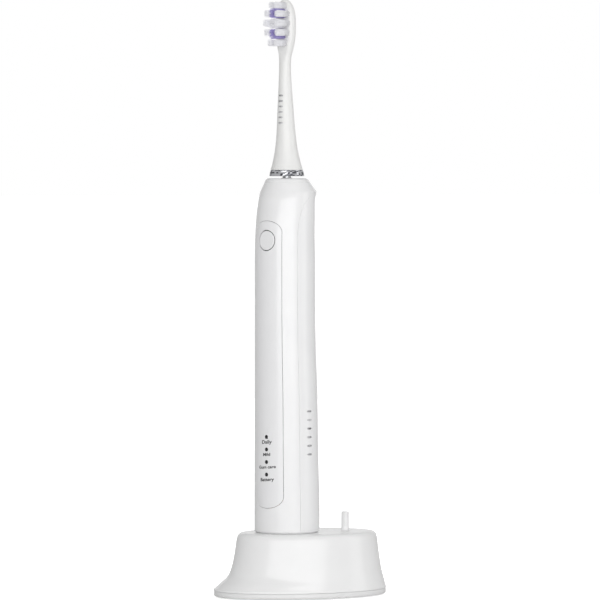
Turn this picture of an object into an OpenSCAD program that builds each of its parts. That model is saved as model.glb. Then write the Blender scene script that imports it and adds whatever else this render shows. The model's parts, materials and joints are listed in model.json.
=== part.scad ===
// Sonic toothbrush standing on its inductive charging base.
// Millimetres, +Z up. The origin is on the table, under the middle of the base.
// The base lies along X with its spare-head peg towards +X and its charging post at post_x.
// The handle stands on the post, turned about it by handle_turn. Handle and brush-head modules are
// drawn about their own axis with their front towards +X, and on_handle() and on_head() place them.

/* [Base] */
// Length of the base at its rim
base_len = 82; // [80:1:88]
// Width of the base at its rim
base_wid = 50; // [48:1:56]
// Height of the base's top face above the table
base_top = 29.6; // [29.2:0.1:31]
// Wall of the base shell
base_wall = 2; // [1.8:0.1:2.2]
// Radius of the charging post
post_r = 6; // [5.8:0.1:6.1]
// Height of the charging post above the top face
post_h = 14; // [12:0.5:14.5]
// Place of the charging post along the base
post_x = -6.5; // [-7:0.1:-6]
// Place of the spare-head peg along the base
peg_x = 21.8; // [21:0.1:23]
// Radius of the spare-head peg
peg_r = 1.75; // [1.7:0.05:1.8]
// Height of the spare-head peg above the top face
peg_h = 8.7; // [8:0.1:11]
// Radius of the bore that the cord leaves through
cord_r = 1.75; // [1.5:0.05:1.9]
// How far the feet hold the rim off the table
foot_gap = 0.5; // [0.4:0.1:0.6]

/* [Handle] */
// Turn of the handle on its post, from facing the -X end
handle_turn = 34; // [0:1:60]
// Radius of the power button
button_r = 4.8; // [4.5:0.1:4.9]
// Height of the power button's centre above the handle's foot
button_h = 134.4; // [132:0.1:135]
// Height of the lowest indicator above the handle's foot
led_h = 27.1; // [26:0.1:30]
// Distance between indicators
led_pitch = 5.75; // [5.5:0.05:6]
// Half of the angle that the front panel spans
panel_half = 33; // [30:1:36]
// Thickness of the front panel
panel_t = 1; // [0.8:0.1:1.1]
// Thickness of the rear grip
grip_t = 1.2; // [1:0.1:1.3]

/* [Drive] */
// Radius of the drive shaft
shaft_r = 1.9; // [1.8:0.05:1.95]
// Length of shaft that stands out of the handle
shaft_out = 22; // [20:0.5:22.5]
// Radius of the motor can
motor_r = 8.1; // [7.9:0.1:8.1]
// Radius of the battery cell
cell_r = 7.1; // [6.9:0.1:7.1]
// Length of the battery cell
cell_len = 49; // [46:1:50]

/* [Brush head] */
// Gap between the handle and the brush head's ring
head_gap = 1; // [0.8:0.1:1.4]
// Length of the brush head, from its ring's foot to its tip
head_len = 81; // [80:0.5:82]
// Width of the bristle plate
plate_w = 10.4; // [10:0.1:11]
// Reach of the longest bristles in front of the plate
bristle_len = 9.2; // [8.5:0.1:10]

/* [Hidden] */

$fn = 64;
eps = 0.02;          // reach of a cut past the face it opens
seat_gap = 0.1;      // between the base and the handle's foot
foot_z = base_top + seat_gap;
front = 180 + handle_turn;

// [height, forward offset, radius] of the handle's sections
body_rows = [
    [0, 0, 14.3], [0.7, 0, 14.95], [12, 0, 14.95], [35, 0.4, 14.65], [62, 0.65, 14.45],
    [82, 1.2, 14.1], [100, 1.5, 13.9], [128, 1.55, 13.85], [136.7, 1.5, 13.65], [146.1, 0.9, 13.4],
    [151.2, 0.3, 13.1], [153.9, -0.25, 13.05], [156.7, -1.2, 12.95], [159.4, -0.65, 11.4],
    [160.8, -0.4, 10.6], [162.2, -0.1, 9.8], [162.8, 0, 8.9]];
handle_len = body_rows[len(body_rows) - 1][0];
panel_rows = [11.6, 143.4];                      // lowest and highest point of the front panel
panel_end = 5.5;                                 // height of the panel's half-elliptic ends
mid_levels = [35, 62, 82, 100, 128];             // heights where the panel and the grip follow the skin
mean_r = 14;                                     // mean radius of the skin, for turning widths to angles
rad = 57.3;                                      // degrees in a radian
// [height, half angle] of the rear grip
grip_rows = [[1.2, 117], [135.7, 117], [141.7, 115], [146.2, 111], [150.7, 104], [154.1, 91],
    [156, 70], [156.7, 52]];
skin_sides = 60;                                 // sides of the handle's and the base's rings
neck_sides = 40;                                 // sides of the brush head's rings
cavity_r = 10.6;                                 // inside of the handle
cavity_x = 0.6;
cap_r = 13;                                      // mouth of the housing, which the bottom cap closes

// [height, inset of the length, inset of the width, centre along X] of the base's outline
base_rows = [
    [3.1, 0, 0, 0], [3.9, 0, 0, 0], [4.2, 0.35, 0.15, 0.2], [5.1, 1.05, 0.35, 0.6],
    [6.1, 1.75, 0.5, 1], [7.2, 2.6, 0.75, 1.6], [8.2, 3.4, 1, 2.1], [9.4, 4.15, 1.2, 2.5],
    [10.8, 4.8, 1.4, 2.75], [13.2, 5.5, 1.65, 2.95], [15.9, 6.1, 1.85, 3.1], [20.5, 6.95, 2.15, 3.2],
    [base_top - 3.9, 7.5, 2.4, 3.25], [base_top - 1.6, 8, 2.9, 3.3],
    [base_top - 0.7, 8.6, 3.5, 3.3], [base_top - 0.2, 9.5, 4.3, 3.3], [base_top, 10.6, 5.3, 3.3]];
rim_row = base_rows[0];
shoulder_z = base_top - 2.4;                     // underside of the base's top wall
inner_rows = [for (z = [shoulder_z, 20.5, 13.2, 9.4, 7.2, 5.1]) base_row_at(z)];
post_wall = 1.2;
cover_t = 2.5;
cover_z = foot_gap;
cover_top = cover_z + cover_t + 1;               // top of the cover's register
register_in = 0.7;                               // room between the register and the shell's wall
board_stand_x = [5.5, 29.5];
boss_at = [[-28.5, 0], [13.5, 13.5], [13.5, -13.5]];
boss_r = 2.6;
foot_at = [for (x = [-24, 24], y = [-9, 9]) [x, y]];
foot_r = 4;
base_board_z = cover_top + 1.9;
base_board_t = 1.2;
peg_flat = 0.25;                                 // depth of the flat that keys a spare head
peg_turn = 217.5;                                // way the flat looks
outlet_x = 9.5;                                  // middle of the cord's outlet
outlet_z = 9.5;
grommet_w = 5.6;                                 // side of the cord grommet's square body
coil_foot = 16;
bobbin_r = 2.6;
bobbin_len = base_top + post_h - coil_foot - 3;

// [height off ring_foot, forward offset, half thickness, half width, squareness] of the brush head
neck_rows = [
    [2.9, 0, 7.45, 7.45, 2], [4, 0.05, 7.1, 7.1, 2], [6.6, 0.1, 6.4, 6.4, 2], [9.3, 0.2, 5.8, 5.8, 2],
    [12.1, 0.3, 5.25, 5.25, 2], [15, 0.4, 4.85, 4.85, 2], [20, 0.55, 4.35, 4.35, 2],
    [26, 0.8, 3.95, 3.95, 2], [31.5, 0.95, 3.7, 3.7, 2], [37, 1.1, 3.3, 3.3, 2], [42.5, 1.2, 3, 3, 2],
    [48, 1.35, 2.7, 2.7, 2], [53.5, 1.25, 2.6, 2.75, 2], [56.3, 1.05, 2.6, 3.2, 2.2],
    [58.5, 0.85, 2.6, 3.9, 2.5], [61, 0.75, 2.6, 4.5, 2.8], [65, 0.7, 2.65, 5, 3],
    [70, 0.7, 2.65, plate_w / 2, 3], [74, 0.75, 2.6, 5, 3], [77, 0.85, 2.45, 4.3, 2.8],
    [79, 1, 2.2, 3.4, 2.5], [80.3, 1.2, 1.7, 2.3, 2.2], [head_len, 1.3, 0.9, 1.1, 2]];
ring_foot = foot_z + handle_len + head_gap;
plate_face = 3.05;                               // the flat that the tufts stand on
hole_deep = 2.4;                                 // depth of a tuft's hole
// [height from the ring's foot, distance from the middle, reach past plate_face] of the outer tufts
outer_at = [for (r = [[61.1, 1.75, 0.86], [65.8, 3.1, 0.96], [70.1, 3.35, 1], [74.4, 3.1, 0.96],
    [78.3, 1.4, 0.82]], s = [-1, 1]) [r[0], s * r[1], r[2] * bristle_len]];
inner_y = 0.95;                                  // distance of the round tufts from the middle
inner_at = [for (h = [64, 66.2, 73.5, 75.7], s = [-1, 1]) [h, s * inner_y, 0.8 * bristle_len]];
centre_at = [for (h = [68.7, 71], s = [-1, 1]) [h, s * inner_y, 0.86 * bristle_len]];
tuft_r = 0.85;                                   // radius of an outer tuft's ends
inner_tuft_r = 0.75;
socket_r = 2.75;
socket_len = 23.2;
clip_z = 16;                                     // foot of the spring's groove in the socket
shaft_fit = 0.06;                                // play between the shaft and the socket
tuft_half = 0.75;                                // half of the straight length of an oblong tuft

motor_foot = 108;
motor_len = 42;
can_t = 0.6;
core_r = motor_r - can_t - 0.05;                 // outside of what sits in the motor can
coil_in = 8;                                     // distance of the coils from the ends of the can
bush_r = 3.15;
bush_rim_r = 4;
magnet_in = 3.4;
magnet_out = 5;
cell_foot = 24;
cell_x = -2.3;
board_x = 8.4;
board_t = 0.8;
board_w = 10.6;
board_face = board_x + board_t;                  // the side of the main board that carries its parts
board_screw_h = [21, 77];
board_screw_y = 3.9;
button_in = 12.1;                                // floor of the power button's hole
press = 0.6;                                     // travel of the power button
stem_x = 11.45;                                  // inner end of the power button's stem
gap = 0.1;
cell_room = cell_len + 4.2;                      // length of the battery's bay in the chassis
cell_bay = cell_foot - 2.2;                      // foot of the battery's bay

// ---- helpers ----

// value of column k of rows at height h
function at(rows, h, k) = lookup(h, [for (r = rows) [r[0], r[k]]]);
function sgn_pow(v, p) = sign(v) * pow(abs(v), 2 / p);
// a closed ring of n points: centre cx, half sizes a and b, squareness p
function ring(n, cx, a, b, z, p = 2) =
    [for (i = [0:n - 1]) let (t = 360 * i / n) [cx + a * sgn_pow(cos(t), p), b * sgn_pow(sin(t), p), z]];

// a solid through rings of equal count; a list that goes down inside and up outside makes a bell
module loft(rings) {
    n = len(rings[0]);
    m = len(rings);
    sides = [for (i = [0:m - 2], j = [0:n - 1]) let (a = i * n + j, b = i * n + (j + 1) % n)
        each [[a, a + n, b + n], [a, b + n, b]]];
    foot = [for (j = [0:n - 1]) j];
    head = [for (j = [n - 1:-1:0]) (m - 1) * n + j];
    polyhedron(points = [for (r = rings) each r], faces = concat(sides, [foot], [head]), convexity = 8);
}

// a point on the handle's skin, d outside it, at angle t from the front
function skin(h, t, d) = let (c = at(body_rows, h, 1), r = at(body_rows, h, 2) + d)
    [c + r * cos(t), r * sin(t), h];

// a curved plate on the skin: rows of [height, half angle] about mid, from d_in to d_out off it
module skin_plate(rows, mid, columns, d_in, d_out) {
    m = len(rows);
    n = columns + 1;
    pts = [for (d = [d_out, d_in], r = rows, j = [0:columns])
        skin(r[0], mid + r[1] * (2 * j / columns - 1), d)];
    in0 = m * n;
    faces = concat(
        [for (i = [0:m - 2], j = [0:columns - 1]) let (a = i * n + j)
            each [[a, a + n, a + n + 1], [a, a + n + 1, a + 1]]],
        [for (i = [0:m - 2], j = [0:columns - 1]) let (a = in0 + i * n + j)
            each [[a, a + n + 1, a + n], [a, a + 1, a + n + 1]]],
        [for (i = [0:m - 2], s = [0, 1]) let (a = i * n + s * columns, b = in0 + a)
            each (s == 0 ? [[a, b + n, a + n], [a, b, b + n]] : [[a, a + n, b + n], [a, b + n, b]])],
        [for (j = [0:columns - 1], s = [0, 1]) let (a = s * (m - 1) * n + j, b = in0 + a)
            each (s == 0 ? [[a, a + 1, b + 1], [a, b + 1, b]] : [[a, b + 1, a + 1], [a, b, b + 1]])]);
    polyhedron(points = pts, faces = faces, convexity = 8);
}

// half angle of the front panel over its height, with half-elliptic ends; grow widens it all round
function panel_angle(h, grow) = let (lo = panel_rows[0] - grow, hi = panel_rows[1] + grow,
    e = min(1, (h - lo) / panel_end, (hi - h) / panel_end), g = grow * rad / mean_r)
    (panel_half + g) * sqrt(max(0.0004, 1 - pow(1 - e, 2)));
function panel_levels(grow) = let (lo = panel_rows[0] - grow, hi = panel_rows[1] + grow,
    ends = [0, 0.12, 0.35, 0.75, 1.4, 2.4, 3.8, panel_end])
    concat([for (e = ends) lo + e], mid_levels, [136],
        [for (i = [len(ends) - 1:-1:1]) hi - ends[i]], [hi]);

// The front panel's plate; grow widens it all round
module panel_plate(grow, d_in, d_out)
    skin_plate([for (h = panel_levels(grow)) [h, panel_angle(h, grow)]], 0, 12, d_in, d_out);

// the rear grip's plate; grow widens it all round
module grip_plate(grow, d_in, d_out) {
    rows = [for (r = grip_rows) [r[0] == grip_rows[0][0] ? r[0] - grow : r[0] + grow, r[1] + grow * 4]];
    levels = concat([rows[0][0], 12], mid_levels, [for (i = [1:len(rows) - 1]) rows[i][0]]);
    skin_plate([for (h = levels) [h, at(rows, h, 1)]], 180, 36, d_in, d_out);
}

// A ring of height h
module tube(r_out, r_in, h) difference() {
    cylinder(r = r_out, h = h);
    translate([0, 0, -1]) cylinder(r = r_in, h = h + 2);
}

// A box standing on at, centred over it
module block(size, at = [0, 0, 0]) translate(at) translate([-size[0] / 2, -size[1] / 2, 0]) cube(size);

// a rod along +X from x0 to x1
module rod_x(r, x0, x1) translate([x0, 0, 0]) rotate([0, 90, 0]) cylinder(r = r, h = x1 - x0);

// a pin along Z with a flat on its front
module flat_pin(r, h, flat) difference() {
    cylinder(r = r, h = h);
    translate([r - flat, -r - 1, -1]) cube([r, 2 * r + 2, h + 2]);
}

// Places what is drawn about the handle's axis
module on_handle() translate([post_x, 0, foot_z]) rotate([0, 0, front]) children();

// Places what is drawn about the brush head's axis
module on_head() translate([post_x, 0, ring_foot]) rotate([0, 0, front]) children();

// ---- base ----

// the base's outline at one row, t inside its skin
function base_ring(row, t) =
    ring(skin_sides, row[3], base_len / 2 - row[1] - t, base_wid / 2 - row[2] - t, row[0]);
function base_row_at(z) = [z, at(base_rows, z, 1), at(base_rows, z, 2), at(base_rows, z, 3)];

// The bell-shaped shell of the base, with its charging post and the bosses that its screws bite into
module base_shell() color("white") difference() {
    union() {
        difference() {
            loft(concat([for (r = inner_rows) base_ring(r, base_wall)], [base_ring(rim_row, base_wall)],
                [for (r = base_rows) base_ring(r, 0)]));
            translate([post_x, 0, 20]) cylinder(r = post_r - post_wall - gap, h = 20);
        }
        translate([post_x, 0, shoulder_z + eps])
            tube(post_r, post_r - post_wall, base_top - shoulder_z + post_h - 1);
        translate([post_x, 0, base_top + post_h - 1.5]) cylinder(r1 = post_r, r2 = post_r - 0.8, h = 1.5);
        for (p = boss_at) translate([p[0], p[1], cover_top + gap])
            cylinder(r = boss_r, h = shoulder_z - cover_top + 0.5);
    }
    for (p = boss_at) translate([p[0], p[1], 0]) cylinder(r = 1, h = 12);
    translate([peg_x, 0, base_top - 5]) cylinder(r = peg_r + 0.05, h = 10);
    translate([outlet_x, 10, outlet_z]) rotate([-90, 0, 0]) block([grommet_w + 0.2, grommet_w + 0.2, 30]);
}

// The plate that closes the base from below, with a register, screw wells, foot pockets and a grille
module base_cover() color("gainsboro") difference() {
    union() {
        for (s = [[cover_z, 0.1, cover_t], [cover_z + cover_t - 1, base_wall + register_in, 2]])
            translate([0, 0, s[0]]) linear_extrude(s[2])
                polygon([for (p = base_ring(rim_row, s[1])) [p[0], p[1]]]);
        for (x = board_stand_x) block([1.6, 12, 1.9], [x, 0, cover_top - eps]);
    }
    for (p = boss_at) translate([p[0], p[1], 0]) {
        cylinder(r = 1.4, h = 10);
        translate([0, 0, cover_z - 1]) cylinder(r = boss_r, h = 2.2);
    }
    for (p = foot_at) translate([p[0], p[1], cover_z - 1]) cylinder(r = foot_r + 0.05, h = 1.8);
    for (x = [-9:6:9]) block([2, 18, 20], [post_x + x, 0, -1]);
}

// Soft feet, pressed into pockets of the cover
module base_feet() color("darkgray") for (p = foot_at) translate([p[0], p[1], 0]) {
    cylinder(r1 = foot_r - 0.4, r2 = foot_r, h = foot_gap);
    translate([0, 0, foot_gap - eps]) cylinder(r = foot_r, h = 0.75);
}

// Screws that hold the cover to the bosses
module base_screws() color("silver") for (p = boss_at)
    translate([p[0], p[1], cover_z + 0.2]) difference() {
        union() {
            cylinder(r = 2.4, h = 0.9);
            cylinder(r = 0.95, h = 8);
        }
        for (a = [0, 90]) rotate([0, 0, a]) block([2.8, 0.5, 0.4], [0, 0, -0.01]);
    }

// The peg that a spare brush head stands on; its collar sits under the top wall
module spare_head_peg() color("whitesmoke") translate([peg_x, 0, base_top]) difference() {
    rotate_extrude() polygon([[0, -3.8], [3, -3.8], [3, -2.8], [peg_r, -2.8], [peg_r, eps],
        [peg_r + 0.5, eps], [peg_r, 0.6], [peg_r, peg_h - 0.3], [peg_r - 0.3, peg_h], [0, peg_h]]);
    rotate([0, 0, peg_turn]) translate([peg_r - peg_flat, -3, 0.8]) cube([3, 6, peg_h]);
}

// The gland in the rear window, with the bore that a cord passes through
module cord_grommet() color("lightgray") translate([outlet_x, 0, outlet_z]) rotate([-90, 0, 0])
    difference() {
        union() {
            block([grommet_w, grommet_w, 9], [0, 0, 17.2]);
            block([grommet_w + 2.4, grommet_w + 2.4, 1.1], [0, 0, 16.2]);
            translate([0, 0, 24.4]) linear_extrude(1.8, scale = 0.85)
                square(grommet_w + 1.8, center = true);
        }
        cylinder(r = cord_r, h = 40);
    }

// The circuit board of the base, on the two stands of the cover
module base_board() color("seagreen") difference() {
    block([28, 18, base_board_t], [17.5, 0, base_board_z]);
    for (x = board_stand_x) translate([x, 7, 0]) cylinder(r = 0.9, h = 20);
}

// Capacitors, controller and small parts on the base board
module base_board_parts() color("dimgray") translate([0, 0, base_board_z + base_board_t + eps]) {
    translate([9, 3.5, 0]) cylinder(r = 2.5, h = 7);
    translate([17.5, 4.5, 0]) cylinder(r = 2, h = 5);
    block([5, 4, 1.5], [12.5, -4, 0]);
    block([7, 5, 2.4], [21.5, -3.5, 0]);
    block([3, 2, 1.2], [25.5, 4, 0]);
    block([2, 1.2, 0.6], [28.5, -1, 0]);
}

// The ferrite rod in the middle of the charging coil
module primary_ferrite() color("dimgray") translate([post_x, 0, coil_foot])
    cylinder(r = 2.1, h = bobbin_len + 1);

// The bobbin that the charging coil is wound on
module primary_bobbin() color("ivory") translate([post_x, 0, coil_foot]) {
    tube(bobbin_r, 2.2, bobbin_len);
    tube(7, 2.2, 1);
    for (z = [6, bobbin_len - 0.6]) translate([0, 0, z]) tube(4.4, 2.2, 0.6);
}

// The winding inside the charging post
module primary_coil() color("peru") translate([post_x, 0, coil_foot + 6.65])
    tube(4.2, bobbin_r + 0.05, bobbin_len - 7.3);

// ---- handle ----

// The stepped hole that the power button and its seal sit in
module button_hole() translate([0, 0, button_h]) {
    rod_x(button_r + 0.2, button_in, 20);
    rod_x(3, 11.4, 13);
    rod_x(1.9, 8, 13);
}

// One rod through the skin for each indicator
module led_rods(r, x0, x1) for (i = [0:3])
    translate([0, 0, led_h + i * led_pitch]) rod_x(r, x0, x1);

// The handle's outer body: a lofted skin, bored out for the chassis and cut back for panel and grip
module housing() color("white") difference() {
    loft([for (r = body_rows) ring(skin_sides, r[1], r[2], r[2], r[0])]);
    panel_plate(0.12, -panel_t - 0.05, 2);
    grip_plate(0.12, -grip_t - 0.05, 2);
    translate([0, 0, -1]) cylinder(r = cap_r, h = 7.2);
    translate([cavity_x, 0, 5]) cylinder(r = cavity_r, h = 146);
    translate([cavity_x, 0, 151 - eps]) cylinder(r1 = cavity_r, r2 = 6, h = 7);
    translate([0, 0, 150]) cylinder(r = 5.6, h = 9.6);
    translate([0, 0, 150]) cylinder(r = 4.2, h = 20);
    button_hole();
    led_rods(0.95, 8, 18);
}

// The long panel in the front of the handle, with holes for the button and the indicators
module front_panel() color("whitesmoke") difference() {
    panel_plate(0, -panel_t, 0.05);
    translate([0, 0, button_h]) rod_x(button_r + 0.15, 8, 20);
    led_rods(0.9, 8, 20);
}

// The curved plate that wraps the back of the handle
module rear_grip() color("whitesmoke") grip_plate(0, -grip_t, 0);

// The cap that closes the handle's foot; its well goes over the charging post
module bottom_cap() color("white") difference() {
    union() {
        translate([0, 0, 0.15]) cylinder(r = cap_r - gap, h = 5.85);
        cylinder(r = post_r + 1.4, h = post_h + 2.6);
    }
    translate([0, 0, -1]) cylinder(r = post_r + 0.4, h = post_h + 2.4);
    translate([0, 0, 2]) tube(11.2, post_r + 2.6, 5);
    translate([0, 0, 2.7]) tube(14, 11.95, 1.1);
}

// The sealing ring in the cap's groove
module bottom_cap_seal() color("dimgray") translate([0, 0, 3.25]) rotate_extrude()
    translate([12.46, 0]) circle(r = 0.48);

// The bobbin round the cap's well
module secondary_bobbin() color("ivory") translate([0, 0, 6.2]) {
    tube(7.9, post_r + 1.45, 10);
    for (z = [0, 9.3]) translate([0, 0, z]) tube(9.7, post_r + 1.45, 0.7);
}

// The winding that takes up the charge
module secondary_coil() color("peru") translate([0, 0, 6.95]) tube(9.4, 7.95, 8.5);

// The rubber bellows at the top, round the drive shaft
module shaft_seal() color("gray") translate([0, 0, 157]) {
    tube(5.5, shaft_r + 0.08, 2.5);
    translate([0, 0, 2.5 - eps]) tube(4.1, shaft_r + 0.08, handle_len - 159.8);
}

// The inner frame that holds the battery, the main board and the motor's wiring
module chassis() color("ivory") difference() {
    intersection() {
        translate([cavity_x, 0, 18]) cylinder(r = cavity_r - 0.25, h = motor_foot - 19);
        block([19, 30, 200], [-1.7, 0, 0]);
    }
    translate([cell_x, 0, cell_bay]) cylinder(r = cell_r + 0.15, h = cell_room);
    block([16, 8, cell_room], [-10, 0, cell_bay]);
    block([8, 8, cell_room], [6, 0, cell_bay]);
    translate([cavity_x, 0, cell_foot + cell_len + 6]) cylinder(r = 7.6, h = 18);
    block([12, 9, 18], [8, 0, cell_foot + cell_len + 6]);
    block([5, 5, 30], [-8, 0, motor_foot - 15]);
    for (h = board_screw_h) translate([0, board_screw_y, h]) rod_x(0.6, 4.5, 9);
}

// The battery cell, with its raised terminal
module battery_cell() color("mediumseagreen") translate([cell_x, 0, cell_foot]) {
    cylinder(r = cell_r, h = cell_len - 1);
    translate([0, 0, cell_len - 1 - eps]) cylinder(r = 2.8, h = 1);
}

// Welded tabs at the ends of the cell
module battery_tabs() color("silver") {
    block([8, 3, 0.2], [cell_x + 2, 0, cell_foot - 0.35]);
    block([8, 3, 0.2], [cell_x + 2, 0, cell_foot + cell_len + 0.1]);
}

// The leads from the tabs to the main board
module battery_leads() {
    color("firebrick") translate([0, 0, cell_foot + cell_len + 0.9]) rod_x(0.45, 0, board_x - 0.05);
    color("dimgray") translate([0, 0, cell_foot - 1.1]) rod_x(0.45, 0, board_x - 0.05);
}

// The long circuit board in front of the cell
module main_board() color("seagreen") difference() {
    block([board_t, board_w, 121], [board_x + board_t / 2, 0, 19]);
    for (h = board_screw_h) translate([0, board_screw_y, h]) rod_x(0.9, 4, 12);
}

// Controller and small parts on the main board
module board_chips() color("dimgray") translate([board_face, 0, 0]) {
    block([1, 5, 5], [0.5, 0, 52]);
    block([0.9, 4, 3], [0.45, 0, 62]);
    block([0.6, 1.2, 2], [0.3, -3, 70]);
    block([0.6, 1.2, 2], [0.3, 3, 85]);
    block([0.9, 3, 3.4], [0.45, 0, 96]);
}

// Screws that hold the board to the chassis
module board_screws() color("silver") for (h = board_screw_h) translate([0, board_screw_y, h]) {
    rod_x(0.55, 5, board_face + 0.1);
    rod_x(1.15, board_face + 0.02, board_face + 0.6);
}

// The light sources behind the indicators
module indicator_leds() color("khaki") for (i = [0:3])
    block([0.5, 1.6, 0.9], [board_face + 0.26, 0, led_h - 0.45 + i * led_pitch]);

// Dark windows that carry the light to the skin
module indicator_lenses() color("black") for (i = [0:3]) let (h = led_h + i * led_pitch)
    translate([0, 0, h]) rod_x(0.8, board_face + 0.7, skin(h, 0, 0)[0] - 0.02);

// The case of the push switch
module switch_case() color("dimgray") translate([0, 0, button_h]) difference() {
    block([1.5, 4.5, 4.5], [board_face + 0.75, 0, -2.25]);
    rod_x(1.1, board_face + 0.3, 20);
}

// The sealing washer round the button's stem
module button_seal() color("gray") translate([0, 0, button_h]) difference() {
    rod_x(2.9, stem_x, button_in - 0.05);
    rod_x(1.7, 10, 14);
}

// The steel can of the motor
module motor_can() color("silver") translate([0, 0, motor_foot])
    tube(motor_r, motor_r - can_t, motor_len);

// The front plate of the motor, round the bushing
module motor_front_plate() color("silver") translate([0, 0, motor_foot + motor_len - 1.6])
    tube(core_r, bush_r + 0.05, 1.2);

// The rear plate of the motor
module motor_rear_plate() color("silver") translate([0, 0, motor_foot + 0.4])
    tube(core_r, bush_r + 0.05, 1.2);

// The bearing at the brush end
module front_bushing() color("goldenrod") translate([0, 0, motor_foot + motor_len - 3]) {
    tube(bush_r, shaft_r + 0.05, 4);
    tube(bush_rim_r, shaft_r + 0.05, 1.3);
}

// The bearing at the battery end
module rear_bushing() color("goldenrod") translate([0, 0, motor_foot - 0.4]) {
    tube(bush_r, shaft_r + 0.05, 3.4);
    translate([0, 0, 2.1]) tube(bush_rim_r, shaft_r + 0.05, 1.3);
}

// A ring sector of the given span, centred on the front
module half_ring(r_out, r_in, h, span) rotate([0, 0, -span / 2]) rotate_extrude(angle = span)
    translate([r_in, 0]) square([r_out - r_in, h]);

// Two curved windings round the rotor
module motor_coils() color("peru") translate([0, 0, motor_foot + coil_in])
    for (a = [0, 180]) rotate([0, 0, a]) half_ring(6.5, magnet_out + 0.4, motor_len - 2 * coil_in, 150);

// The laminated ring outside the windings
module motor_core() color("lightslategray") translate([0, 0, motor_foot + coil_in])
    tube(core_r, 6.55, motor_len - 2 * coil_in);

// Rubber rings that carry the motor in the housing
module motor_dampers() color("dimgray") for (h = [motor_foot + 3, motor_foot + motor_len - 7])
    translate([0, 0, h]) difference() {
        translate([cavity_x, 0, 0]) cylinder(r = cavity_r - 0.05, h = 4);
        translate([0, 0, -1]) cylinder(r = motor_r + 0.05, h = 6);
        block([4, 30, 6], [board_x + 1.9, 0, -1]);
    }

// The shaft from the motor to the brush head, with a flat on the part that stands out
module drive_shaft() color("lightgray") {
    translate([0, 0, motor_foot - 1]) cylinder(r = shaft_r, h = handle_len - motor_foot + 9);
    translate([0, 0, handle_len + 8 - eps]) flat_pin(shaft_r, shaft_out - 8.8 + 2 * eps, 0.45);
    translate([0, 0, handle_len + shaft_out - 0.8]) intersection() {
        cylinder(r1 = shaft_r, r2 = shaft_r - 0.5, h = 0.8);
        translate([-0.45, 0, 0]) block([2 * shaft_r, 6, 2]);
    }
}

// The iron sleeve that carries the magnets
module rotor_core() color("slategray") translate([0, 0, motor_foot + 9])
    tube(magnet_in - 0.02, shaft_r + 0.01, motor_len - 18);

// Four magnet arcs round the sleeve
module rotor_magnets() color("darkgray") translate([0, 0, motor_foot + 10])
    for (a = [45:90:315]) rotate([0, 0, a]) half_ring(magnet_out, magnet_in, motor_len - 20, 80);

// The open ring that keeps the shaft from sliding out
module shaft_clip() color("silver") translate([0, 0, motor_foot + motor_len + 1.3])
    rotate([0, 0, 30]) rotate_extrude(angle = 300) translate([shaft_r + 0.01, 0]) square([1.4, 0.5]);

// The power button, cut from the handle's skin, with a stem to the switch
module power_button() color("whitesmoke") {
    c = at(body_rows, button_h, 1);
    r = at(body_rows, button_h, 2);
    intersection() {
        translate([0, 0, button_h]) rod_x(button_r, button_in + press + 0.1, 20);
        translate([c, 0, button_h - 10]) cylinder(r = r, h = 20);
    }
    translate([0, 0, button_h]) rod_x(1.6, stem_x, button_in + press + 0.12);
}

// The plunger that the stem pushes into the switch
module switch_plunger() color("black") translate([0, 0, button_h])
    rod_x(1, 10.2, stem_x - eps);

// ---- brush head ----

// The blind hole of one tuft
module tuft_hole(p, r, half) translate([plate_face - hole_deep, p[1], p[0]]) rotate([0, 90, 0])
    oblong(r + 0.03, half, hole_deep + 4);

// A rod with straight sides and round ends
module oblong(r, half, h) linear_extrude(h) union() {
    if (half > 0) square([2 * half, 2 * r], center = true);
    translate([half, 0]) circle(r = r);
    if (half > 0) translate([-half, 0]) circle(r = r);
}

// One tuft, from the bottom of its hole to its tip
module tuft(p, r, half) translate([plate_face - hole_deep + 0.4, p[1], p[0]]) rotate([0, 90, 0])
    oblong(r, half, hole_deep - 0.4 + p[2]);

// The brush head's moulding: round at the foot, flat where the tufts stand
module brush_neck() color("white") difference() {
    union() {
        loft([for (r = neck_rows) ring(neck_sides, r[1], r[2], r[3], r[0], r[4])]);
        translate([0, 0, 0.4]) cylinder(r = 6.2, h = 3);
    }
    translate([plate_face, -10, 57]) cube([10, 20, 30]);
    translate([0, 0, -1]) cylinder(r = 5, h = 3);
    translate([0, 0, 2 - eps]) cylinder(r1 = 5, r2 = socket_r + 0.05, h = 6);
    translate([0, 0, 7]) cylinder(r = socket_r + 0.05, h = socket_len - 6.8);
    for (p = outer_at) tuft_hole(p, tuft_r, tuft_half);
    for (p = concat(inner_at, centre_at)) tuft_hole(p, inner_tuft_r, 0);
}

// The bright ring round the foot of the brush head
module collar_ring() color("silver") rotate_extrude()
    polygon([[6.25, 0], [8.15, 0], [8.2, 0.3], [7.55, 2.7], [7.4, 2.88], [6.25, 2.88]]);

// The socket inside the neck that grips the shaft; its flat keys the head's direction
module shaft_socket() color("lightgray") difference() {
    union() {
        translate([0, 0, 0.5]) cylinder(r = 4.9, h = 1.4);
        cylinder(r = socket_r, h = socket_len);
    }
    translate([0, 0, -1]) cylinder(r = shaft_r + shaft_fit, h = 9.9);
    translate([0, 0, 7]) flat_pin(shaft_r + shaft_fit, socket_len - 7.8, 0.42);
    translate([0, 0, clip_z]) tube(2.4, 1, 3.2);
}

// The open spring ring that snaps on the shaft
module socket_spring() color("silver") translate([0, 0, clip_z + gap])
    rotate([0, 0, 60]) rotate_extrude(angle = 240) translate([shaft_r + 0.1, 0]) square([0.35, 3]);

// Oblong tufts down both edges of the plate
module outer_tufts() color("white") for (p = outer_at) tuft(p, tuft_r, tuft_half);

// Round tufts down the middle, in the second colour
module inner_tufts() color("mediumpurple") for (p = inner_at) tuft(p, inner_tuft_r, 0);

// Round tufts in the very middle
module centre_tufts() color("white") for (p = centre_at) tuft(p, inner_tuft_r, 0);

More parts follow.
